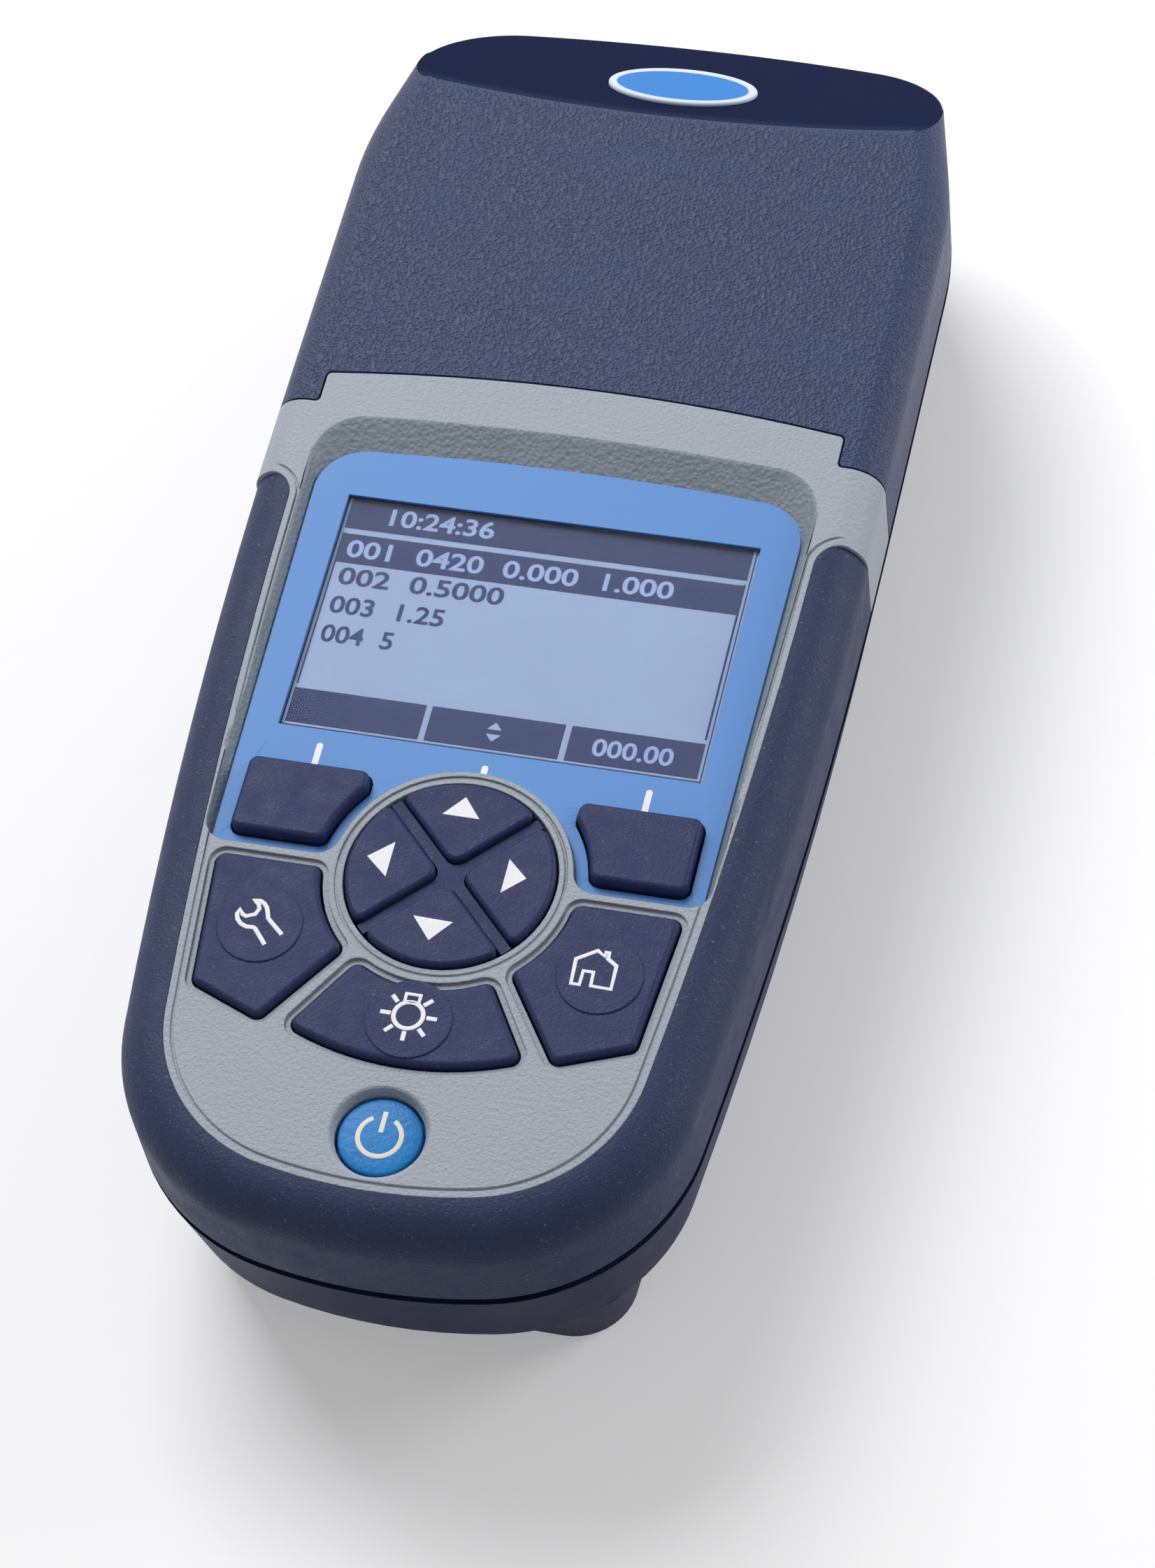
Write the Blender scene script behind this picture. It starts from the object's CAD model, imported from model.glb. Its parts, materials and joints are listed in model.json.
"""Looks of the colorimeter: eased mouldings, printed marks, the display's segments and finishes."""

import json
import math

import bmesh
import bpy
from mathutils import Matrix, Vector

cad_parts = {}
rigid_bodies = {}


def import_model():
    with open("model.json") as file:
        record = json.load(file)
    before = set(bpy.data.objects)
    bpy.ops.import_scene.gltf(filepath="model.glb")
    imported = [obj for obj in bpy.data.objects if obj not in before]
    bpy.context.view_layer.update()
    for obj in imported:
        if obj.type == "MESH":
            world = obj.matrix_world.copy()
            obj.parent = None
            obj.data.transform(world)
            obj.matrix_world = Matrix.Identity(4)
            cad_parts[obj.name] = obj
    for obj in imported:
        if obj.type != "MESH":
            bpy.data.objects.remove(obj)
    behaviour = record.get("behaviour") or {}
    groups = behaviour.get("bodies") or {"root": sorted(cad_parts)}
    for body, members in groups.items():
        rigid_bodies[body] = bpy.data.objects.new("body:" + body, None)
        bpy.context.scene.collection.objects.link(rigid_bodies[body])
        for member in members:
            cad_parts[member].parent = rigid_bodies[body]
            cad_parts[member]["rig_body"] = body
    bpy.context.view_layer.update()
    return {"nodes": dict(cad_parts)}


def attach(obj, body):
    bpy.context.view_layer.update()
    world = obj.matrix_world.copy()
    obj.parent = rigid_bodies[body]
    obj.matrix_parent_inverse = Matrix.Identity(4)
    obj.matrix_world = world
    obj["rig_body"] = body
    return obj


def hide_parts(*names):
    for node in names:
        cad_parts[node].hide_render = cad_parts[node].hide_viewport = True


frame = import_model()
nodes = frame["nodes"]

MM = 0.001

# Places and levels on the object, in mm.
FACE_TOP = 48.0
OVERLAY_TOP = 46.4
GLASS_TOP = 45.3
BOSS_TOP = 48.82
PETAL_TOP = 48.9
POWER_TOP = 46.9
POWER_Y = -99.2
POWER_DOME = 52.5  # the radius of the power key's dome
PAD_Y = -57.0  # the middle of the arrow pad, which the artwork is set out from
FACET_SLOPE = 29.5  # degrees, the cap's sloping end
FACET_START_Y = 86.0
RIDGE_HALF = 38.0  # the ridge is straight this far to each side of the middle
CORNER_TOP = 43.0  # above this the facet's outline runs into the rounding of the cap's top
BADGE_Y = 98.67
BADGE_HALF_X = 10.9
BADGE_HALF_Y = 6.35  # along the slope
BADGE_POCKET_X, BADGE_POCKET_Y = 14.0, 8.0  # a box that holds the edges of the badge's pocket
RECESS_HALF_X = 40.0
RECESS_END_Y = 23.0
RAMP_BOTTOM = 45.9

# Sizes of print and edges, in mm.
GRID = 0.696  # one step of the artwork's grid
PRINT = 0.03  # how proud a printed mark stands
LINE = 0.68  # the ink lines of the signs
POWER_LINE = 0.74
TICK_HALF = 0.7  # half the width of a lead line, on the artwork's grid
HAIR_EDGE = 0.12  # the sharpest edge that a mould leaves
SOFT_EDGE = 0.45


# Finishes

# The Mix node's sockets for colours: the share of the second one, the two, and the result.
SHARE, FIRST, SECOND, RESULT = 0, 6, 7, 2

# The specks of dust that cling to soft rubber.
MOTE = 0.55  # mm
MOTE_TONE = "A4A9B4"


def linear(code):
    """The shader colour of an sRGB hex code."""
    channels = [int(code[i : i + 2], 16) / 255 for i in (0, 2, 4)]
    return [c / 12.92 if c <= 0.04045 else ((c + 0.055) / 1.055) ** 2.4 for c in channels] + [1.0]


def add_node(tree, kind, sockets=None, **settings):
    """Adds a shader node with its settings; a socket takes a value or another node's output."""
    node = tree.nodes.new("ShaderNode" + kind)
    for name, value in settings.items():
        setattr(node, name, value)
    for name, value in (sockets or {}).items():
        if isinstance(value, bpy.types.NodeSocket):
            tree.links.new(value, node.inputs[name])
        else:
            node.inputs[name].default_value = value
    return node


def new_finish(name):
    """An empty material, its tree, and the piece's own coordinates turned to millimetres."""
    material = bpy.data.materials.new(name)
    material.use_nodes = True
    tree = material.node_tree
    tree.nodes.clear()
    places = add_node(tree, "TexCoord").outputs["Object"]
    millimetres = add_node(tree, "VectorMath", {0: places, "Scale": 1 / MM}, operation="SCALE")
    return material, tree, millimetres.outputs[0]


def relief(tree, heights):
    """A normal from a list of (0 to 1 pattern, depth in mm)."""
    total = None
    for pattern, depth in heights:
        layer = {0: pattern, 1: depth * MM}
        part = add_node(tree, "Math", layer, operation="MULTIPLY").outputs[0]
        if total is not None:
            part = add_node(tree, "Math", {0: total, 1: part}, operation="ADD").outputs[0]
        total = part
    bump = add_node(tree, "Bump", {"Height": total, "Strength": 1.0, "Distance": 1.0})
    return bump.outputs["Normal"]


def surfaced(material, tree, sockets):
    """Closes a material with the usual surface shader."""
    shader = add_node(tree, "BsdfPrincipled", sockets).outputs[0]
    add_node(tree, "OutputMaterial", {"Surface": shader})
    return material


def moulded(
    name,
    colour,
    second,
    roughness,
    grains,
    blotch=9.0,
    reflection=0.25,
    gloss_spread=0.06,
    leather=None,
    fade=None,
    dust=0.0,
):
    """Moulded plastic or rubber: an etched grain, a slow change of tone and one of gloss with it.

    grains is a list of (size in mm, depth in mm, detail), blotch the size in mm of the change of
    tone, leather the (size, depth) of a pebbled skin, fade the (start, end, colour) of a blend
    from another colour between two heights in mm, and dust how pale the specks on rubber are."""
    material, tree, place = new_finish(name)
    patches = {"Vector": place, "Scale": 1.0 / blotch, "Detail": 4.0, "Roughness": 0.6}
    tone = add_node(tree, "TexNoise", patches).outputs["Fac"]
    spread = {"Value": tone, "From Min": 0.35, "From Max": 0.65}
    share = add_node(tree, "MapRange", spread).outputs["Result"]
    tones = {SHARE: share, FIRST: linear(colour), SECOND: linear(second)}
    base = add_node(tree, "Mix", tones, data_type="RGBA").outputs[RESULT]
    if fade:
        start, end, first = fade
        height = add_node(tree, "SeparateXYZ", {0: place}).outputs[2]
        slope = {"Value": height, "From Min": start, "From Max": end}
        share = add_node(tree, "MapRange", slope).outputs["Result"]
        faded = {SHARE: share, FIRST: linear(first), SECOND: base}
        base = add_node(tree, "Mix", faded, data_type="RGBA").outputs[RESULT]
    if dust:
        motes = add_node(tree, "TexNoise", {"Vector": place, "Scale": 1.0 / MOTE, "Detail": 1.0})
        rare = {"Value": motes.outputs["Fac"], "From Min": 0.68, "From Max": 0.8, "To Max": dust}
        specks = add_node(tree, "MapRange", rare).outputs["Result"]
        dusty = {SHARE: specks, FIRST: base, SECOND: linear(MOTE_TONE)}
        base = add_node(tree, "Mix", dusty, data_type="RGBA").outputs[RESULT]
    shine = {"Value": tone, "From Min": 0.3, "From Max": 0.7}
    shine.update({"To Min": roughness - gloss_spread, "To Max": roughness + gloss_spread})
    gloss = add_node(tree, "MapRange", shine).outputs["Result"]
    heights = []
    for size, depth, detail in grains:
        grain = {"Vector": place, "Scale": 1.0 / size, "Detail": detail}
        heights.append((add_node(tree, "TexNoise", grain).outputs["Fac"], depth))
    if leather:
        size, depth = leather
        pebble = {"Vector": place, "Scale": 1.0 / size, "Smoothness": 0.6}
        skin = add_node(tree, "TexVoronoi", pebble, feature="SMOOTH_F1").outputs["Distance"]
        heights.append((skin, depth))
    sockets = {"Base Color": base, "Roughness": gloss, "Specular IOR Level": reflection}
    sockets["Normal"] = relief(tree, heights)
    return surfaced(material, tree, sockets)


def worked_metal(name, colour, roughness, brush, depth):
    """Metal with the fine lines of how it was worked, brush being their count to a mm per axis."""
    material, tree, place = new_finish(name)
    lines = add_node(tree, "Mapping", {"Vector": place, "Scale": brush}).outputs[0]
    fine = {"Vector": lines, "Scale": 1.0, "Detail": 3.0}
    marks = add_node(tree, "TexNoise", fine).outputs["Fac"]
    shine = {"Value": marks, "From Min": 0.3, "From Max": 0.7}
    shine.update({"To Min": roughness - 0.08, "To Max": roughness + 0.08})
    gloss = add_node(tree, "MapRange", shine).outputs["Result"]
    sockets = {"Base Color": linear(colour), "Metallic": 1.0, "Roughness": gloss}
    sockets["Normal"] = relief(tree, [(marks, depth)])
    return surfaced(material, tree, sockets)


def clear_pane(name, tint, roughness):
    """A clear sheet or lens: it lets light through and mirrors a little of the room at a slant."""
    material, tree, place = new_finish(name)
    swell = add_node(tree, "TexNoise", {"Vector": place, "Scale": 1.0 / 14.0}).outputs["Fac"]
    waves = relief(tree, [(swell, 0.01)])
    through = add_node(tree, "BsdfTransparent", {"Color": linear(tint)})
    mirror = add_node(tree, "BsdfGlossy", {"Roughness": roughness, "Normal": waves})
    slant = add_node(tree, "LayerWeight", {"Blend": 0.25}).outputs["Facing"]
    sheen = add_node(tree, "MapRange", {"Value": slant, "To Max": 0.05}).outputs["Result"]
    layers = {0: sheen, 1: through.outputs[0], 2: mirror.outputs[0]}
    add_node(tree, "OutputMaterial", {"Surface": add_node(tree, "MixShader", layers).outputs[0]})
    return material


def crystal_dots(name, dark, gap, pitch, gap_share):
    """Dark dots in square cells pitch mm apart, set off by fine paler lines."""
    material, tree, place = new_finish(name)
    cells = add_node(tree, "VectorMath", {0: place, "Scale": 1.0 / pitch}, operation="SCALE")
    split = add_node(tree, "SeparateXYZ", {0: cells.outputs[0]})
    edges = []
    for axis in (0, 1):
        part = add_node(tree, "Math", {0: split.outputs[axis]}, operation="FRACT").outputs[0]
        edge = add_node(tree, "Math", {0: part, 1: gap_share}, operation="LESS_THAN")
        edges.append(edge.outputs[0])
    line = add_node(tree, "Math", {0: edges[0], 1: edges[1]}, operation="MAXIMUM").outputs[0]
    tones = {SHARE: line, FIRST: linear(dark), SECOND: linear(gap)}
    base = add_node(tree, "Mix", tones, data_type="RGBA").outputs[RESULT]
    sockets = {"Base Color": base, "Roughness": 0.6, "Specular IOR Level": 0.06}
    return surfaced(material, tree, sockets)


def domed_badge(name, field, rim, half_x, half_y, middle_y):
    """One colour inside an ellipse and a paler one on its rim, under a clear gloss."""
    material, tree, place = new_finish(name)
    shift = {0: place, 1: (0.0, middle_y, 0.0)}
    centred = add_node(tree, "VectorMath", shift, operation="SUBTRACT").outputs[0]
    squash = {0: centred, 1: (1 / half_x, 1 / half_y, 0.0)}
    flat = add_node(tree, "VectorMath", squash, operation="MULTIPLY").outputs[0]
    radius = add_node(tree, "VectorMath", {0: flat}, operation="LENGTH").outputs["Value"]
    border = {"Value": radius, "From Min": 0.985, "From Max": 1.015}
    edge = add_node(tree, "MapRange", border).outputs["Result"]
    tones = {SHARE: edge, FIRST: linear(field), SECOND: linear(rim)}
    base = add_node(tree, "Mix", tones, data_type="RGBA").outputs[RESULT]
    swell = add_node(tree, "TexNoise", {"Vector": place, "Scale": 1.0 / 3.0}).outputs["Fac"]
    sockets = {"Base Color": base, "Roughness": 0.34, "Specular IOR Level": 0.08}
    sockets["Normal"] = relief(tree, [(swell, 0.004)])
    return surfaced(material, tree, sockets)


# Polycarbonate blend moulded against a leather grain etched in the tool: the grains break the
# light into a soft, sparkling sheen.
CAP = moulded(
    "polycarbonate_leather_grain_navy",
    "2C3859",
    "303D5F",
    0.42,
    [(0.3, 0.07, 2.0)],
    blotch=12.0,
    reflection=0.22,
    gloss_spread=0.05,
    leather=(0.48, 0.22),
)
# The same blend, etched finer on the cap's sloping end, which stays dark and quiet where the top
# catches the light; it fades in just below the ridge.
CAP_END = moulded(
    "polycarbonate_fine_etched_navy",
    "101936",
    "141D3C",
    0.75,
    [(0.4, 0.06, 2.0)],
    blotch=12.0,
    reflection=0.03,
    fade=(47.9, 46.6, "252F4C"),
)
# The same blend, spark-eroded fine: an even, quiet satin.
SHELL = moulded(
    "polycarbonate_spark_eroded_navy",
    "1A213F",
    "1F2646",
    0.52,
    [(0.5, 0.07, 2.0)],
    blotch=12.0,
    reflection=0.12,
)
# Grey ABS moulded with a fine orange peel, which keeps the large face matt and calm.
FACE = moulded(
    "abs_orange_peel_grey",
    "9DA4AE",
    "A2A9B3",
    0.5,
    [(0.6, 0.17, 2.0), (0.35, 0.05, 1.0)],
    blotch=14.0,
)
# The same ABS, etched deeper on the sloping frame: it glitters in grains where light rakes it.
RAMP = moulded(
    "abs_coarse_etched_grey",
    "7C858E",
    "858E97",
    0.48,
    [(0.4, 0.06, 2.0)],
    blotch=14.0,
    gloss_spread=0.05,
    leather=(0.7, 0.16),
)
# Thermoplastic rubber moulded over the shell: dusty, mottled and nearly without shine.
GRIP = moulded(
    "rubber_overmoulded_navy",
    "28324F",
    "2E3857",
    0.54,
    [(0.45, 0.16, 3.0)],
    blotch=5.0,
    reflection=0.2,
    gloss_spread=0.1,
    dust=0.28,
)
# Silicone rubber, compression moulded: a satin skin with faint mottling from handling.
KEYS = moulded(
    "silicone_moulded_navy",
    "252F55",
    "2A345B",
    0.5,
    [(0.5, 0.08, 3.0)],
    blotch=4.0,
    reflection=0.17,
    gloss_spread=0.1,
    dust=0.16,
)
# The same silicone dyed bright blue for the power key: its livelier skin shows soft ripples.
POWER = moulded(
    "silicone_moulded_blue",
    "0F74BC",
    "1A7FC6",
    0.42,
    [(0.8, 0.12, 3.0)],
    blotch=6.0,
)
# Polyester film printed on its back: smooth and even in colour, with a soft gloss.
OVERLAY = moulded(
    "polyester_film_printed_blue",
    "5389CC",
    "568CCF",
    0.38,
    [(1.6, 0.01, 1.0)],
    blotch=30.0,
    reflection=0.2,
    gloss_spread=0.02,
)
# White pad-printing ink: slightly thick and chalky, so the signs look laid on.
INK = moulded("ink_pad_printed_white", "EDEEF4", "F6F6FA", 0.55, [(0.25, 0.02, 2.0)], blotch=1.5)
# Cream pad-printing ink: softer and warmer on the blue key.
CREAM_INK = moulded(
    "ink_pad_printed_cream", "E4E0D8", "EAE6DE", 0.5, [(0.3, 0.02, 2.0)], blotch=1.5
)
# Moulded neoprene: black, matt and a little dusty, so it reads as a gap or a foot.
SEAL = moulded(
    "neoprene_moulded_black",
    "111319",
    "171A21",
    0.7,
    [(0.4, 0.05, 2.0)],
    blotch=3.0,
    reflection=0.2,
)
# Liquid-crystal glass over its reflector: a pale, even blue-grey with a very fine shimmer.
LCD = moulded(
    "liquid_crystal_pale",
    "A8B8CC",
    "ADBDD0",
    0.6,
    [(0.5, 0.004, 1.0)],
    blotch=20.0,
    reflection=0.1,
    gloss_spread=0.02,
)
# Switched crystal: dark blue bars with a faint net of paler lines. The dots are drawn coarser
# than the real quarter millimetre so that they show.
SEGMENTS = crystal_dots("liquid_crystal_dots_dark", "1B2A4E", "334878", 0.4, 0.24)
# Switched crystal of the figures, too thin to show its dots: plain dark blue strokes.
FIGURES = moulded(
    "liquid_crystal_figures_dark", "24355E", "2A3B66", 0.6, [(0.5, 0.004, 1.0)], 8.0, 0.1
)
# Crystal left open inside the dark bars: pale figures like the ground.
OPEN_FIGURES = moulded(
    "liquid_crystal_figures_pale", "AABBD8", "B2C2DC", 0.6, [(0.5, 0.004, 1.0)], 8.0, 0.1
)
# Cast acrylic sheet over the display: all but unseen, with a gleam at a slant.
PANE = clear_pane("acrylic_cast_clear", "F6F9FF", 0.06)
# Moulded epoxy of the lamp: a clear drop with a small bright gleam.
LENS = clear_pane("epoxy_moulded_clear", "EAF4FF", 0.04)
# Polyurethane resin domed over a printed foil, left blank: a bright blue field in a pale rim.
BADGE = domed_badge(
    "resin_domed_blue",
    "1F78C6",
    "CDD9EC",
    BADGE_HALF_X,
    BADGE_HALF_Y * math.cos(math.radians(FACET_SLOPE)),
    BADGE_Y,
)
# Milky acrylic of the light guide: smooth, pale and even.
GUIDE = moulded("acrylic_milky_white", "D8DCE2", "E2E6EA", 0.3, [(0.8, 0.004, 1.0)], blotch=10.0)
# Polyimide film of the ribbons: glossy amber with slow waves.
FLEX = moulded("polyimide_film_amber", "B06A1E", "BC7628", 0.35, [(1.2, 0.003, 1.0)], blotch=6.0)
# Solder mask over glass cloth: glossy green, with the weave as a faint relief.
BOARD = moulded("solder_mask_green", "13512F", "185C37", 0.35, [(0.6, 0.006, 1.0)], blotch=10.0)
# Moulded epoxy of the chips: a dull, fine-grained black.
CHIP = moulded("epoxy_moulded_black", "17181A", "1D1E21", 0.55, [(0.3, 0.006, 2.0)], blotch=3.0)
# Glass-filled nylon of the optics, moulded matt so that it throws no stray light: a deep black.
OPTIC = moulded(
    "nylon_moulded_black", "121317", "18191E", 0.7, [(0.5, 0.02, 2.0)], blotch=6.0, reflection=0.3
)
# Printed sleeve shrunk on the cells: a plain, smooth slate with some gloss.
SLEEVE = moulded("shrink_sleeve_slate", "4A5568", "515D70", 0.35, [(0.8, 0.004, 1.0)], blotch=12.0)
# Zinc-plated steel, turned: fine rings and a grey lustre.
STEEL = worked_metal("steel_zinc_plated", "B9BCC0", 0.32, (0.6, 0.6, 6.0), 0.004)
# Machined brass: warm, with bright fine rings.
BRASS = worked_metal("brass_machined", "C9A25A", 0.3, (0.8, 0.8, 7.0), 0.004)
# Brushed aluminium foil of the blank label: straight hairlines that streak the light.
FOIL = worked_metal("aluminium_foil_brushed", "C3C6CA", 0.36, (0.12, 7.0, 1.0), 0.003)

PETALS = ("key_up", "key_down", "key_left", "key_right")
LOW_KEYS = ("key_settings", "key_home", "key_backlight")
SOFT_KEYS = ("key_soft_left", "key_soft_right")
SEALS = ("shell_seal", "battery_door_seal", "cell_wiper", "rubber_feet", "port_flap")
SCREWS = ("board_screws", "housing_screws", "battery_door_screws")

# What each piece of the solids is made of, with its material slot.
DRESSED = (
    (CAP, "cap_navy", ("cap_shell",)),
    (BADGE, "badge_blue", ("cap_badge",)),
    (FACE, "face_grey", ("front_shell",)),
    (GRIP, "grip_rubber", ("side_grip",)),
    (SHELL, "shell_navy", ("back_shell", "battery_door")),
    (SEAL, "seal_rubber", SEALS),
    (OVERLAY, "overlay_blue", ("overlay_panel",)),
    (PANE, "window_clear", ("display_window",)),
    (LCD, "lcd_glass", ("display_glass",)),
    (GUIDE, "light_guide", ("display_backlight",)),
    (FLEX, "flex_film", ("display_flex", "optics_flex")),
    (KEYS, "key_rubber", ("dpad_spider",) + PETALS + LOW_KEYS + SOFT_KEYS),
    (POWER, "power_blue", ("key_power",)),
    (BOARD, "circuit_board", ("main_board", "led_board", "detector_board")),
    (CHIP, "chip_black", ("board_chips", "buzzer", "photodiode")),
    (OPTIC, "optic_black", ("optical_block", "battery_tray", "well_deck")),
    (LENS, "lamp_clear", ("led_emitter",)),
    (SLEEVE, "cell_jacket", ("battery_cells",)),
    (STEEL, "steel", SCREWS + ("battery_contacts", "key_switches", "port_flap_pin", "usb_socket")),
    (BRASS, "brass", ("threaded_inserts",)),
    (FOIL, "label_metal", ("label_plate",)),
)
FINISH_OF = {name: (finish, slot) for finish, slot, names in DRESSED for name in names}

for name, node in nodes.items():
    node.data.materials.clear()
    node.data.materials.append(FINISH_OF[name][0])


# Mouldings with their edges eased


def merged(name):
    """A copy of a node's skin with its doubles merged."""
    skin = bmesh.new()
    skin.from_mesh(nodes[name].data)
    bmesh.ops.remove_doubles(skin, verts=skin.verts, dist=1e-6)
    return skin


def ease(skin, width, sharper_than=28.0, where=None, segments=3):
    """Rounds hard edges by width mm: all, or those that where picks by middle and normals."""
    edges = []
    for edge in skin.edges:
        middle = (edge.verts[0].co + edge.verts[1].co) / 2 / MM
        if len(edge.link_faces) != 2 or edge.calc_face_angle() < math.radians(sharper_than):
            continue
        if where is None or where(middle, [face.normal for face in edge.link_faces]):
            edges.append(edge)
    bmesh.ops.bevel(
        skin,
        geom=edges,
        offset=width * MM,
        offset_type="OFFSET",
        affect="EDGES",
        segments=segments,
        profile=0.5,
        material=-1,
        clamp_overlap=False,
    )


def set_on(piece, body):
    """Puts a piece in the scene, on its body and with its material slot."""
    bpy.context.scene.collection.objects.link(piece)
    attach(piece, body)
    return piece


def eased_node(name, *passes, smooth_below=34.0):
    """Replaces a node with an eased copy; each pass is a dict for ease.

    Flat faces are shaded flat beside the rounded ones, and edges sharper than smooth_below
    degrees stay crisp."""
    skin = merged(name)
    for one in passes:
        ease(skin, **one)
    finish, slot = FINISH_OF[name]
    mesh = bpy.data.meshes.new(name + "_eased")
    skin.to_mesh(mesh)
    skin.free()
    if "custom_normal" in mesh.attributes:
        mesh.attributes.remove(mesh.attributes["custom_normal"])
    mesh.shade_smooth()
    mesh.set_sharp_from_angle(angle=math.radians(smooth_below))
    mesh.materials.clear()
    mesh.materials.append(finish)
    piece = bpy.data.objects.new(name + "_eased", mesh)
    flat = piece.modifiers.new("flat_faces", "WEIGHTED_NORMAL")
    flat.keep_sharp = True
    set_on(piece, nodes[name]["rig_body"])
    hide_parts(name)
    return piece


def is_facet(normal):
    """Whether a face of the cap lies in its sloping end, on the outside."""
    rise = math.sin(math.radians(FACET_SLOPE))
    return abs(normal.y - rise) < 0.1 and abs(normal.x) < 0.2 and normal.z > 0


def on_ridge(middle, normals):
    """Whether an edge lies where the cap's top turns down into its sloping end."""
    high = middle.z > FACE_TOP - 0.1
    return any(is_facet(normal) for normal in normals) and high and abs(middle.x) < RIDGE_HALF


def on_facet_edge(middle, normals):
    """Whether an edge lies on the low outline of the sloping end, not in the badge's pocket."""
    in_pocket = abs(middle.x) < BADGE_POCKET_X and abs(middle.y - BADGE_Y) < BADGE_POCKET_Y
    return any(is_facet(normal) for normal in normals) and not in_pocket and middle.z < CORNER_TOP


def on_recess_edge(middle, normals):
    """Whether an edge lies where the face turns down into the display's recess."""
    leans = sorted(normal.z for normal in normals)
    return middle.z > FACE_TOP - 0.05 and 0.3 < leans[0] < 0.97 and leans[1] > 0.99


def above(level):
    """Picks the edges that lie above a level in mm."""
    return lambda middle, normals: middle.z > level


cap = eased_node(
    "cap_shell",
    {"width": 0.5, "sharper_than": 20.0, "where": on_facet_edge},
    {"width": 0.8, "sharper_than": 20.0, "where": on_ridge, "segments": 4},
)
cap.data.materials.append(CAP_END)
for polygon in cap.data.polygons:
    if is_facet(polygon.normal) and polygon.center.y > FACET_START_Y * MM:
        polygon.material_index = 1

face = eased_node(
    "front_shell",
    {"width": SOFT_EDGE, "sharper_than": 15.0, "where": on_recess_edge},
    {"width": HAIR_EDGE, "sharper_than": 40.0, "where": above(47), "segments": 2},
    smooth_below=18.0,
)
face.data.materials.append(RAMP)
for polygon in face.data.polygons:
    x, y, z = polygon.center / MM
    in_recess = abs(x) < RECESS_HALF_X and PAD_Y < y < RECESS_END_Y and RAMP_BOTTOM < z < FACE_TOP
    if in_recess and 0.1 < polygon.normal.z < 0.985:
        polygon.material_index = 1

eased_node("side_grip", {"width": HAIR_EDGE, "sharper_than": 40.0, "segments": 2})
eased_node("back_shell")
eased_node("overlay_panel", {"width": HAIR_EDGE, "segments": 2})
eased_node("key_power", {"width": 0.4, "where": above(45)})
for key in LOW_KEYS + SOFT_KEYS:
    eased_node(key)
for key in PETALS:
    petal = eased_node(key)
    for vertex in petal.data.vertices:
        vertex.co.z = min(vertex.co.z, (PETAL_TOP - PRINT) * MM)


# Printed marks


def artwork(x, y):
    """A place in mm from one on the artwork's grid, which starts at the middle of the pad."""
    return x * GRID, PAD_Y + y * GRID


def printed(mesh, name, finish, body):
    """Makes a mark of its mesh, in its ink, and sets it on what carries it."""
    mesh.materials.clear()
    mesh.materials.append(finish)
    return set_on(bpy.data.objects.new(name, mesh), body)


def meshed(curve):
    """The mesh of a curve or of text."""
    draft = bpy.data.objects.new(curve.name + "_draft", curve)
    mesh = bpy.data.meshes.new_from_object(draft)
    bpy.data.objects.remove(draft)
    return mesh


def stroke_mark(name, lines, width, level, finish, body):
    """Ink lines of one width in mm; each line is (points on the artwork's grid, closed)."""
    curve = bpy.data.curves.new(name, "CURVE")
    curve.dimensions = "3D"
    curve.bevel_depth = width / 2
    curve.bevel_resolution = 3
    curve.use_fill_caps = True
    for points, closed in lines:
        spline = curve.splines.new("POLY")
        spline.points.add(len(points) - 1)
        spline.use_cyclic_u = closed
        for point, (x, y) in zip(spline.points, points):
            point.co = (*artwork(x, y), 0.0, 1.0)
    mesh = meshed(curve)
    mesh.transform(Matrix.Diagonal((1.0, 1.0, 2 * PRINT / width, 1.0)))
    mesh.transform(Matrix.Scale(MM, 4) @ Matrix.Translation((0.0, 0.0, level)))
    mesh.shade_smooth()
    return printed(mesh, name, finish, body)


def flat_mark(name, outlines, bottom, top, finish, body):
    """Thin plates from outlines on the artwork's grid, in one piece, between two levels in mm."""
    skin = bmesh.new()
    for outline in outlines:
        corners = [skin.verts.new((*artwork(x, y), bottom)) for x, y in outline]
        grown = bmesh.ops.extrude_face_region(skin, geom=[skin.faces.new(corners)])
        lifted = [part for part in grown["geom"] if isinstance(part, bmesh.types.BMVert)]
        bmesh.ops.translate(skin, verts=lifted, vec=(0.0, 0.0, top - bottom))
    bmesh.ops.recalc_face_normals(skin, faces=skin.faces)
    bmesh.ops.scale(skin, verts=skin.verts, vec=(MM, MM, MM))
    mesh = bpy.data.meshes.new(name)
    skin.to_mesh(mesh)
    skin.free()
    return printed(mesh, name, finish, body)


def arc(middle, radius, start, end, steps=36):
    """Points along an arc on the artwork's grid, from start to end degrees."""
    points = []
    for i in range(steps + 1):
        turn = math.radians(start + (end - start) * i / steps)
        points.append((middle[0] + radius * math.cos(turn), middle[1] + radius * math.sin(turn)))
    return points


def box_outline(x0, x1, y0, y1):
    """The corners of a box on the artwork's grid."""
    return [(x0, y0), (x1, y0), (x1, y1), (x0, y1)]


arrow_bottom, arrow_top = PETAL_TOP - 2 * PRINT, PETAL_TOP - 0.005
arrows = {
    "up": [(-5.0, 13.6), (3.0, 13.6), (-1.0, 18.4)],
    "left": [(-18.0, 1.0), (-13.0, -3.2), (-13.0, 5.3)],
    "right": [(11.5, 5.2), (11.5, -3.0), (16.0, 1.2)],
    "down": [(-5.0, -11.3), (-0.5, -16.5), (3.5, -11.5)],
}
for side, outline in arrows.items():
    flat_mark(f"arrow_{side}", [outline], arrow_bottom, arrow_top, INK, f"key_{side}_cap")

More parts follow.
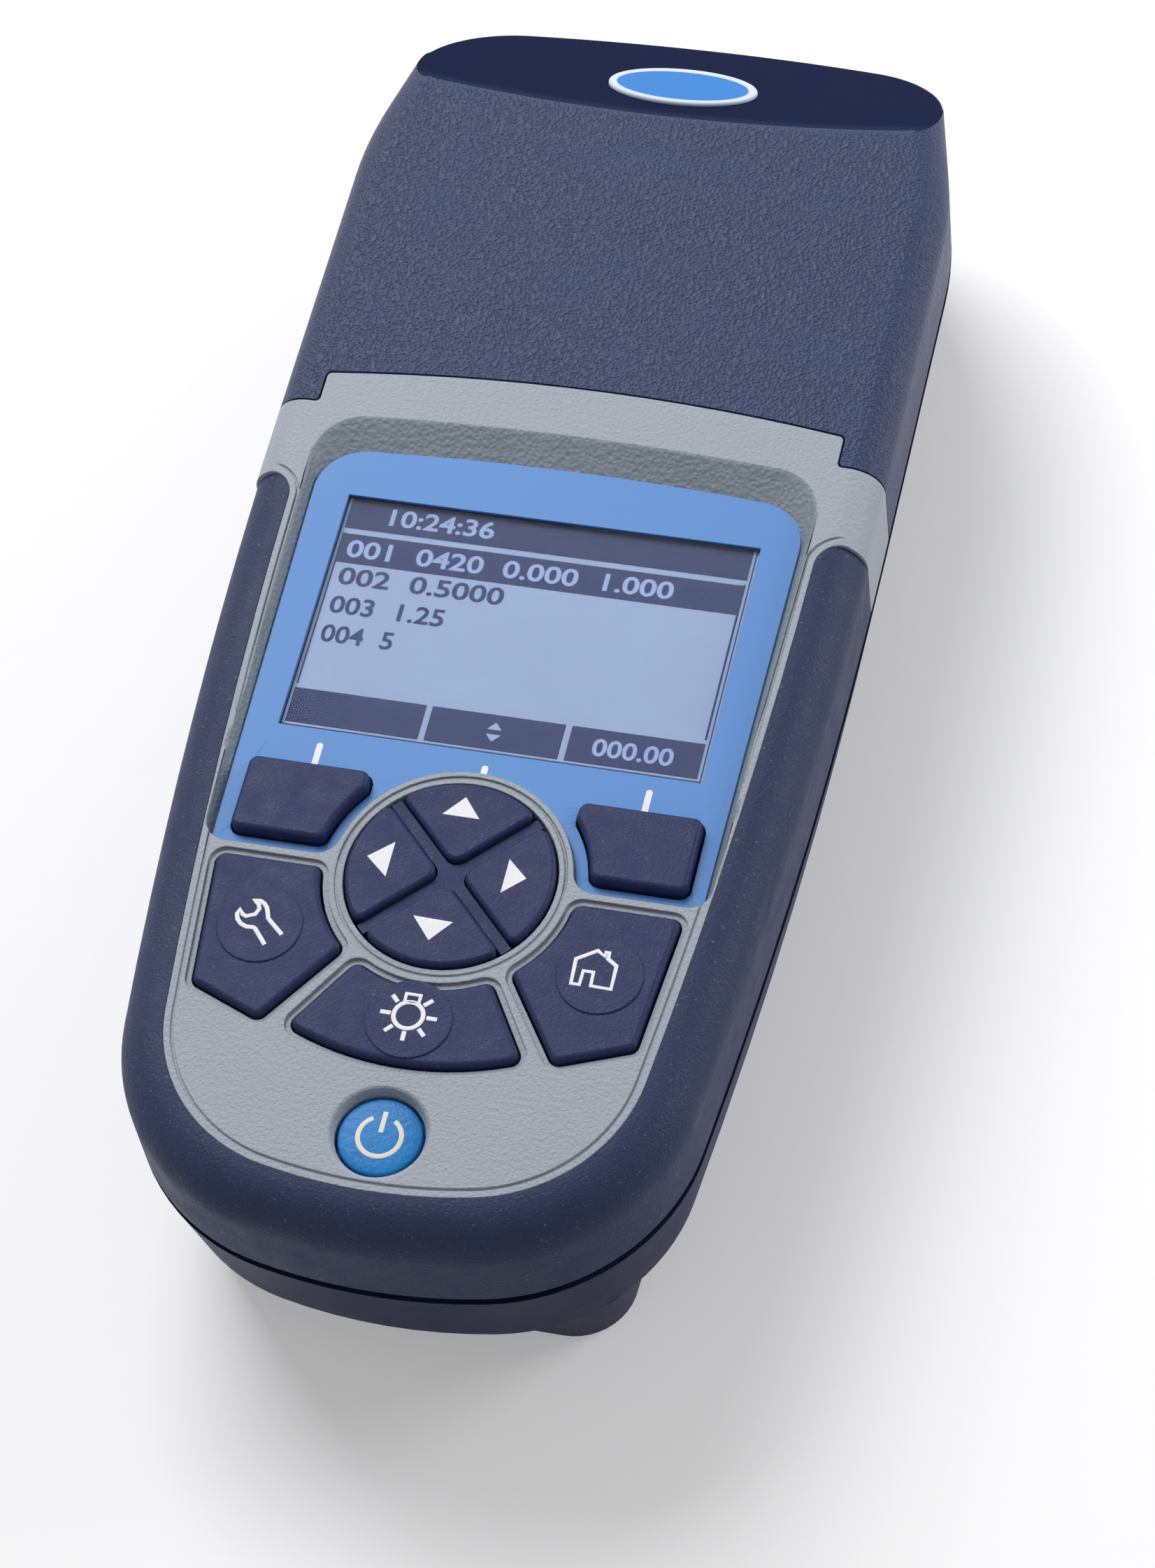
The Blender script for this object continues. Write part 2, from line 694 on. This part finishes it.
spanner = [
    (-30.8, -20.3), (-34.6, -17.0), (-35.0, -15.8), (-35.5, -14.6), (-36.3, -13.7),
    (-37.3, -13.2), (-38.7, -13.2), (-37.4, -14.1), (-37.0, -15.1), (-37.5, -16.5),
    (-39.3, -17.3), (-40.2, -16.9), (-41.0, -15.8), (-41.3, -17.0), (-40.9, -18.2),
    (-39.9, -19.2), (-38.6, -19.7), (-37.1, -19.6), (-36.6, -19.9), (-33.7, -23.2),
]
stroke_mark("spanner_sign", [(spanner, False)], LINE, BOSS_TOP, INK, "key_settings_cap")
house = [
    (30.4, -15.6), (34.4, -13.0), (36.1, -14.1), (36.1, -13.1), (36.8, -13.1), (36.8, -14.5),
    (38.9, -15.9), (39.0, -21.4), (34.7, -21.3), (34.6, -18.1), (32.5, -18.1), (32.4, -21.4),
    (30.6, -21.4),
]
stroke_mark("house_sign", [(house, True)], LINE, BOSS_TOP, INK, "key_home_cap")
bulb = [
    (arc((-0.3, -34.3), 3.05, 0.0, 350.0), True),
    ([(-1.85, -31.2), (-1.85, -29.4), (1.15, -29.4), (1.15, -31.2)], True),
    ([(-6.2, -34.35), (-4.0, -34.35)], False),
    ([(3.5, -34.3), (5.7, -34.3)], False),
    ([(-4.6, -30.2), (-3.2, -31.6)], False),
    ([(3.9, -30.1), (2.3, -31.6)], False),
    ([(-4.3, -38.6), (-2.9, -37.1)], False),
    ([(4.0, -38.5), (2.5, -37.0)], False),
    ([(-0.15, -40.2), (-0.2, -38.0)], False),
]
stroke_mark("lamp_sign", bulb, LINE, BOSS_TOP, INK, "key_backlight_cap")

# The power sign bends with the dome that it is printed on, so its bar has a point every so often.
power_lines = [
    (arc((0.0, -60.8), 4.45, 120.0, 420.0, 48), False),
    ([(0.0, -55.1 - 0.6 * step) for step in range(9)], False),
]
power_sign = stroke_mark(
    "power_sign", power_lines, POWER_LINE, POWER_TOP, CREAM_INK, "key_power_cap"
)
for vertex in power_sign.data.vertices:
    from_middle = math.hypot(vertex.co.x, vertex.co.y - POWER_Y * MM)
    vertex.co.z -= from_middle**2 / (2 * POWER_DOME * MM)

ticks = []
for x, low, high in ((-35.8, 22.5, 28.6), (35.8, 22.5, 28.6), (0.3, 25.5, 28.8)):
    foot = [(x - TICK_HALF, low), (x + TICK_HALF, low)]
    ticks.append(foot + arc((x, high - TICK_HALF), TICK_HALF, 0.0, 180.0, 10))
tick_bottom, tick_top = OVERLAY_TOP - 0.02, OVERLAY_TOP + PRINT
flat_mark("key_lead_lines", ticks, tick_bottom, tick_top, INK, "housing")


# The display's bars, frame lines, cells and figures, one thin layer over another

# The glass lies deeper than the rest of the artwork, so what is drawn there is set a little
# towards the far end and the left, in steps of the artwork's grid.
GLASS_LEFT = 0.4
GLASS_FAR = 1.85
GLASS_STRETCH = 1.013


def on_glass(x, y):
    """A place on the artwork's grid from one as it is drawn on the display's glass."""
    return x - GLASS_LEFT, GLASS_STRETCH * y + GLASS_FAR


bars_bottom, bars_top = GLASS_TOP, GLASS_TOP + PRINT
bars = [
    (-45.0, 45.0, 82.0, 90.0),
    (-44.6, 44.6, 73.0, 80.6),
    (-45.0, -15.7, 31.5, 40.2),
    (-14.4, 14.8, 31.5, 40.2),
    (16.2, 45.0, 31.5, 40.2),
    (-45.0, -44.6, 41.2, 80.9),
    (44.5, 45.0, 41.2, 80.9),
    (-45.9, 45.9, 30.7, 31.0),
    (-45.9, 45.9, 90.5, 90.8),
    (-45.9, -45.6, 30.7, 90.8),
    (45.6, 45.9, 30.7, 90.8),
]
bar_outlines = [[on_glass(x, y) for x, y in box_outline(*bar)] for bar in bars]
flat_mark("display_bars", bar_outlines, bars_bottom, bars_top, SEGMENTS, "housing")
pointers = ([(-1.6, 36.5), (1.6, 36.5), (0.0, 38.3)], [(-1.6, 35.3), (0.0, 33.5), (1.6, 35.3)])
pointer_outlines = [[on_glass(x, y) for x, y in pointer] for pointer in pointers]
flat_mark(
    "display_pointers",
    pointer_outlines,
    bars_top,
    bars_top + PRINT,
    OPEN_FIGURES,
    "housing",
)


# The numerals' half thickness and how much bolder than the font they are, in the font's units.
HALF_THICK = 0.02
BOLDER = 0.02


def figures(name, text, left, right, base, height, level, finish):
    """Numerals between left and right on the artwork's grid, standing on base, height tall."""
    curve = bpy.data.curves.new(name, "FONT")
    curve.body = text
    curve.extrude = HALF_THICK
    curve.offset = BOLDER
    curve.resolution_u = 6
    mesh = meshed(curve)
    xs = [vertex.co.x for vertex in mesh.vertices]
    ys = [vertex.co.y for vertex in mesh.vertices]
    wide, tall = max(xs) - min(xs), max(ys) - min(ys)
    mesh.transform(Matrix.Translation((-min(xs), -min(ys), HALF_THICK)))
    fitted = ((right - left) * GRID / wide, height * GRID / tall, 0.5, 1.0)
    mesh.transform(Matrix.Diagonal(fitted))
    corner = (*artwork(*on_glass(left, base)), level)
    mesh.transform(Matrix.Scale(MM, 4) @ Matrix.Translation(corner))
    return printed(mesh, name, finish, "housing")


ROW = 4.6  # the height of a row's numerals, on the artwork's grid
figures("figures_header", "10:24:36", -35.5, -12.0, 83.9, ROW, bars_top, OPEN_FIGURES)
chosen = "001  0420  0.000  1.000"
figures("figures_chosen", chosen, -43.0, 30.0, 74.6, ROW, bars_top, OPEN_FIGURES)
figures("figures_second", "002  0.5000", -43.0, -6.0, 67.4, ROW, bars_bottom, FIGURES)
figures("figures_third", "003  1.25", -43.0, -17.5, 59.9, ROW, bars_bottom, FIGURES)
figures("figures_fourth", "004  5", -43.0, -27.0, 52.4, ROW, bars_bottom, FIGURES)
figures("figures_right_cell", "000.00", 21.5, 39.0, 33.6, 4.4, bars_top, OPEN_FIGURES)


# Floor, light and camera

FLOOR_HALF = 4.0  # m
FLOOR_GLOW = 0.3
ROOM_LIGHT = 0.26


def seen_directly(tree):
    """1 for a ray from the camera, off a gloss or through glass, and 0 for one that lights."""
    path = add_node(tree, "LightPath")
    seen = path.outputs["Is Camera Ray"]
    for kind in ("Is Glossy Ray", "Is Transmission Ray"):
        rays = {0: seen, 1: path.outputs[kind]}
        seen = add_node(tree, "Math", rays, operation="MAXIMUM").outputs[0]
    return seen


def floor_finish():
    """Matt seamless paper that reads white where it is lit and keeps the shadow."""
    material, tree, place = new_finish("paper_seamless_pale")
    fibre = add_node(tree, "TexNoise", {"Vector": place, "Scale": 1.0 / 6.0, "Detail": 3.0})
    paper = relief(tree, [(fibre.outputs["Fac"], 0.05)])
    matt = add_node(tree, "BsdfDiffuse", {"Color": linear("E6E6E8"), "Normal": paper})
    glow = add_node(tree, "Math", {0: seen_directly(tree), 1: FLOOR_GLOW}, operation="MULTIPLY")
    white = {"Color": (1.0, 1.0, 1.0, 1.0), "Strength": glow.outputs[0]}
    lift = add_node(tree, "Emission", white)
    both = add_node(tree, "AddShader", {0: matt.outputs[0], 1: lift.outputs[0]})
    add_node(tree, "OutputMaterial", {"Surface": both.outputs[0]})
    return material


ground = bmesh.new()
bmesh.ops.create_grid(ground, x_segments=1, y_segments=1, size=FLOOR_HALF)
floor_mesh = bpy.data.meshes.new("floor")
ground.to_mesh(floor_mesh)
ground.free()
floor_mesh.materials.append(floor_finish())
floor = bpy.data.objects.new("floor", floor_mesh)
bpy.context.scene.collection.objects.link(floor)

# The room lights the object softly and is seen white.
world = bpy.data.worlds.new("studio")
bpy.context.scene.world = world
world.use_nodes = True
room = world.node_tree
room.nodes.clear()
level = add_node(room, "MapRange", {"Value": seen_directly(room), "To Min": ROOM_LIGHT})
sky = {"Color": (1.0, 1.0, 1.0, 1.0), "Strength": level.outputs["Result"]}
add_node(room, "OutputWorld", {"Surface": add_node(room, "Background", sky).outputs[0]})


def soft_lamp(name, direction, distance, size, power):
    """A square softbox, size m wide and power watts strong, aimed at the middle of the object."""
    light = bpy.data.lights.new(name, "AREA")
    light.shape = "SQUARE"
    light.size = size
    light.energy = power
    lamp = bpy.data.objects.new(name, light)
    aim = Vector(direction).normalized()
    lamp.location = aim * distance + Vector((0.0, 0.0, 0.03))
    lamp.rotation_mode = "QUATERNION"
    lamp.rotation_quaternion = aim.to_track_quat("Z", "Y")
    bpy.context.scene.collection.objects.link(lamp)


soft_lamp("key_softbox", (-0.42, 0.55, 0.77), 1.5, 0.9, 20.0)
soft_lamp("edge_softbox", (0.82, 0.5, 0.28), 1.2, 0.5, 6.0)

camera_data = bpy.data.cameras.new("camera")
camera_data.sensor_width = 36.0
camera_data.lens = 103.615
camera = bpy.data.objects.new("camera", camera_data)
bpy.context.scene.collection.objects.link(camera)
camera_right = Vector((0.97014833, 0.22295353, -0.09541457))
camera_up = Vector((-0.13873107, 0.83292789, 0.53570964))
camera_back = Vector((0.19891181, -0.50648085, 0.83899419))
turn = Matrix((camera_right, camera_up, camera_back)).transposed()
camera_place = (0.14476, -0.3702, 0.5970)
camera.matrix_world = Matrix.Translation(camera_place) @ turn.to_4x4()
bpy.context.scene.camera = camera
bpy.context.scene.view_settings.view_transform = "Standard"
